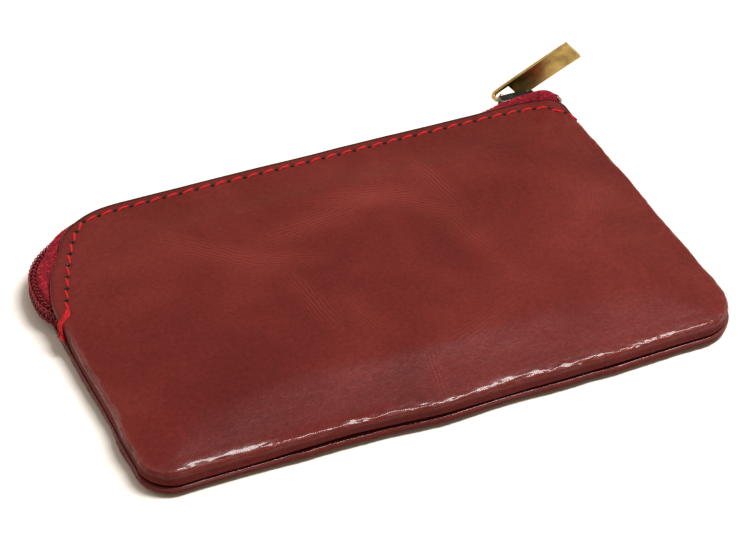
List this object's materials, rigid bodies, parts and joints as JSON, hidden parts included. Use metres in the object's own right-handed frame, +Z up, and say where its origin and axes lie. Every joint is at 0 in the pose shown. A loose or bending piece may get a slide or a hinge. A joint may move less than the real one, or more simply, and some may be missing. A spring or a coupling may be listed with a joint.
{
  "type": "zippered pouch",
  "caption": "Flat leather pouch with a coil zip along one long side and round one corner, red topstitching, a slider and a folded metal puller.",
  "frame": {"origin": "middle of the flat underside the pouch lies on", "axes": "+X along the zip towards its closed end, +Y towards the zip edge, +Z up, away from what the pouch lies on"},
  "size_m": [0.1382, 0.0887, 0.0186],
  "materials": {
    "leather": "smooth oxblood leather, satin",
    "zip_tape": "woven dark red tape",
    "zip_coil": "dark red nylon",
    "thread": "bright red thread",
    "dark_metal": "dark gunmetal, satin",
    "old_brass": "brushed antique brass"
  },
  "bodies": {
    "pouch": {"front_panel": "leather", "back_panel": "leather", "zip_tape_front": "zip_tape", "zip_tape_back": "zip_tape", "coil_front": "zip_coil", "coil_back": "zip_coil", "coil_core_front": "zip_tape", "coil_core_back": "zip_tape", "coil_thread_front": "thread", "coil_thread_back": "thread", "topstitch_front": "thread", "topstitch_back": "thread", "seam_thread": "thread", "end_tack_open": "thread", "end_tack_closed": "thread", "thread_tail": "thread"},
    "slider": {"slider_body": "dark_metal", "slider_crown": "old_brass"},
    "puller": {"puller": "old_brass"}
  },
  "joints": [
    {"name": "slider_travel", "type": "slide", "parent": "pouch", "child": "slider", "axis": [1, 0, 0], "range_m": [-0.095, 0]},
    {"name": "puller_swing", "type": "hinge", "parent": "slider", "child": "puller", "pos_m": [0.0543, 0.0455, 0.0038], "axis": [-0.6691, 0, 0.7431], "range_deg": [0, 50]}
  ]
}
